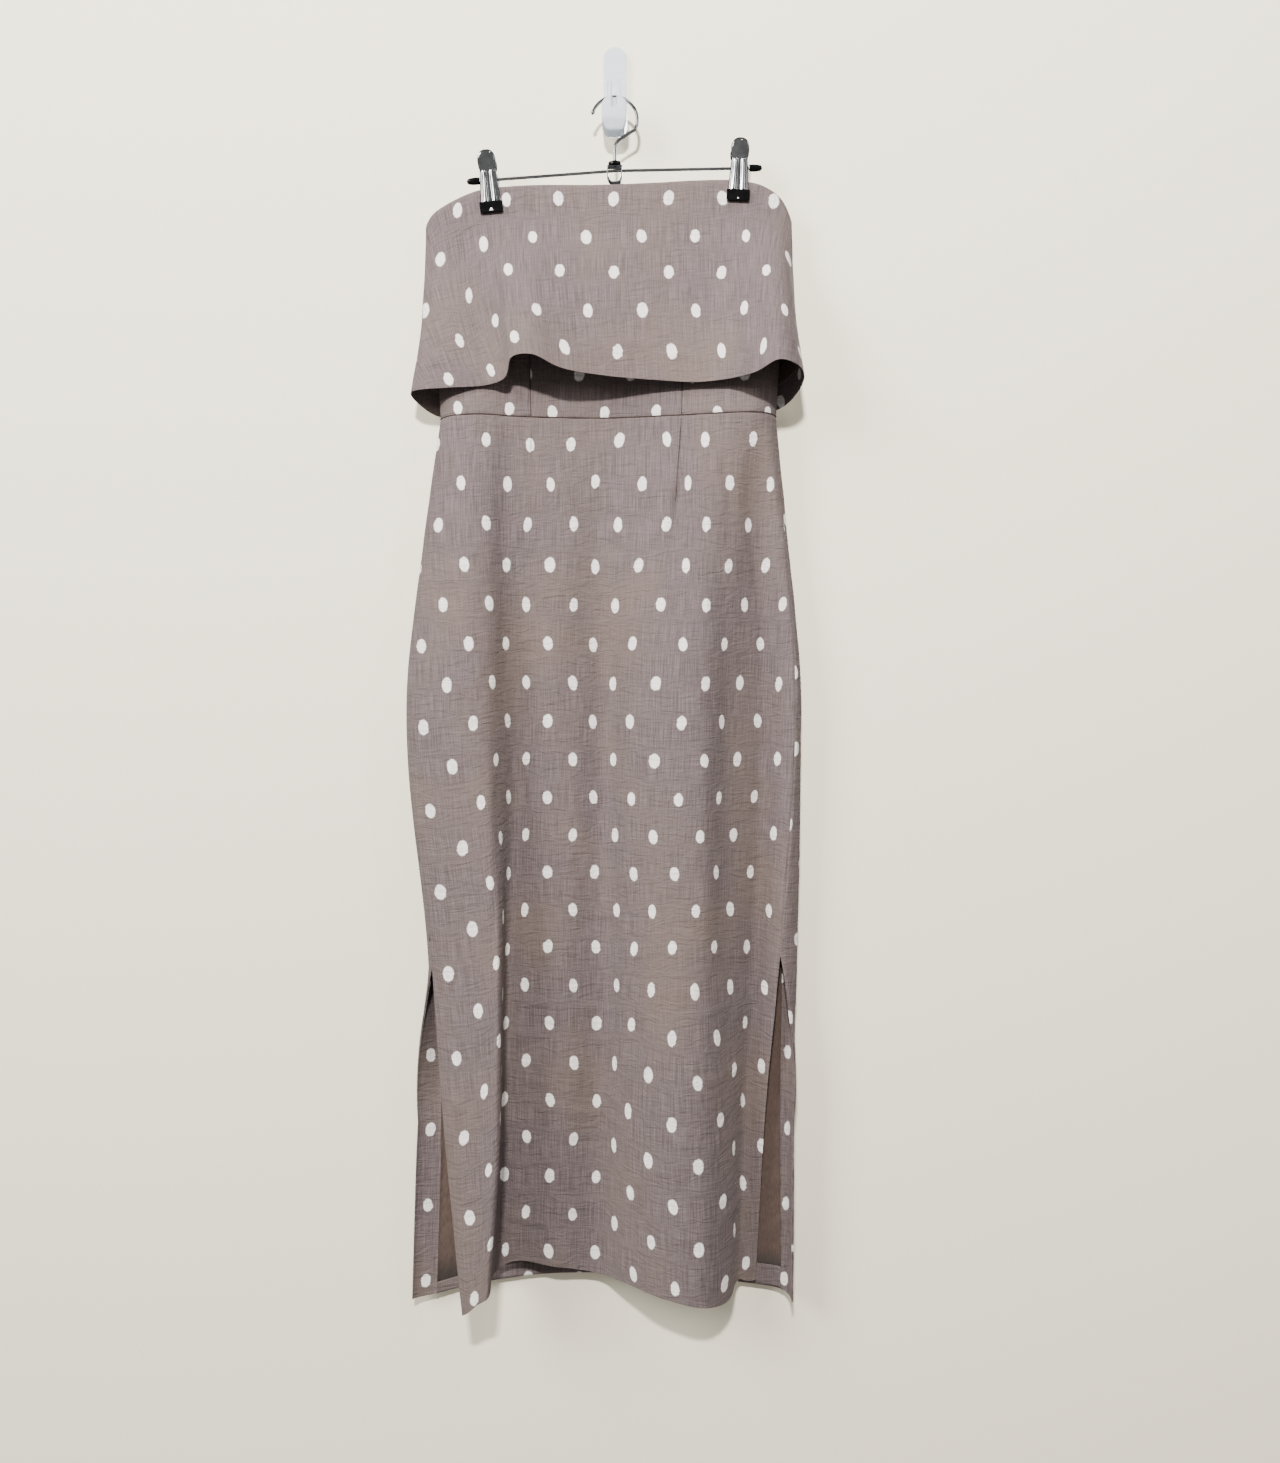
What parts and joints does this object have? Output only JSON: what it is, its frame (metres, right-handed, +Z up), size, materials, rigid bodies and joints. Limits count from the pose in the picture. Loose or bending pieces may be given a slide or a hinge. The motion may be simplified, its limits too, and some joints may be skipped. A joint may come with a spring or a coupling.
{
  "type": "strapless dress on a clip hanger and wall hook",
  "caption": "Strapless midi dress in dotted crinkled cloth with a flounced overlay and side slits, clipped to a wire hanger on an adhesive wall hook",
  "frame": {"origin": "middle of the wall hook's back face, on the wall", "axes": "+X to the right of someone who looks at the dress, +Y into the wall, +Z up"},
  "size_m": [0.4079, 0.092, 1.3129],
  "materials": {
    "fabric": "taupe crinkled cloth with small off-white oval dots",
    "lining": "smooth brown satin",
    "chrome": "bright plated steel",
    "vinyl": "black soft vinyl",
    "hook_plastic": "cloudy clear plastic"
  },
  "bodies": {
    "root": {"overlay_front": "fabric", "overlay_back_left": "fabric", "overlay_back_right": "fabric", "overlay_lining_back": "lining", "bodice_front_side_left": "fabric", "bodice_front_centre": "fabric", "bodice_front_side_right": "fabric", "bodice_back_left": "fabric", "bodice_back_right": "fabric", "skirt_front": "fabric", "skirt_back_left": "fabric", "skirt_back_right": "fabric", "skirt_lining_back": "lining", "slit_facing_left": "fabric", "slit_facing_right": "fabric", "hem_turn_left": "fabric", "hem_turn_right": "fabric", "hook_wire": "chrome", "collar_ring": "vinyl", "collar_bracket": "chrome", "rod": "chrome", "rod_cap_left": "vinyl", "rod_cap_right": "vinyl", "clip_left_front_jaw": "chrome", "clip_left_back_jaw": "chrome", "clip_left_spring": "chrome", "clip_left_front_tip": "vinyl", "clip_left_back_tip": "vinyl", "clip_right_front_jaw": "chrome", "clip_right_back_jaw": "chrome", "clip_right_spring": "chrome", "clip_right_front_tip": "vinyl", "clip_right_back_tip": "vinyl", "wall_hook_plate": "hook_plastic", "wall_hook_lobe": "hook_plastic"}
  },
  "joints": []
}
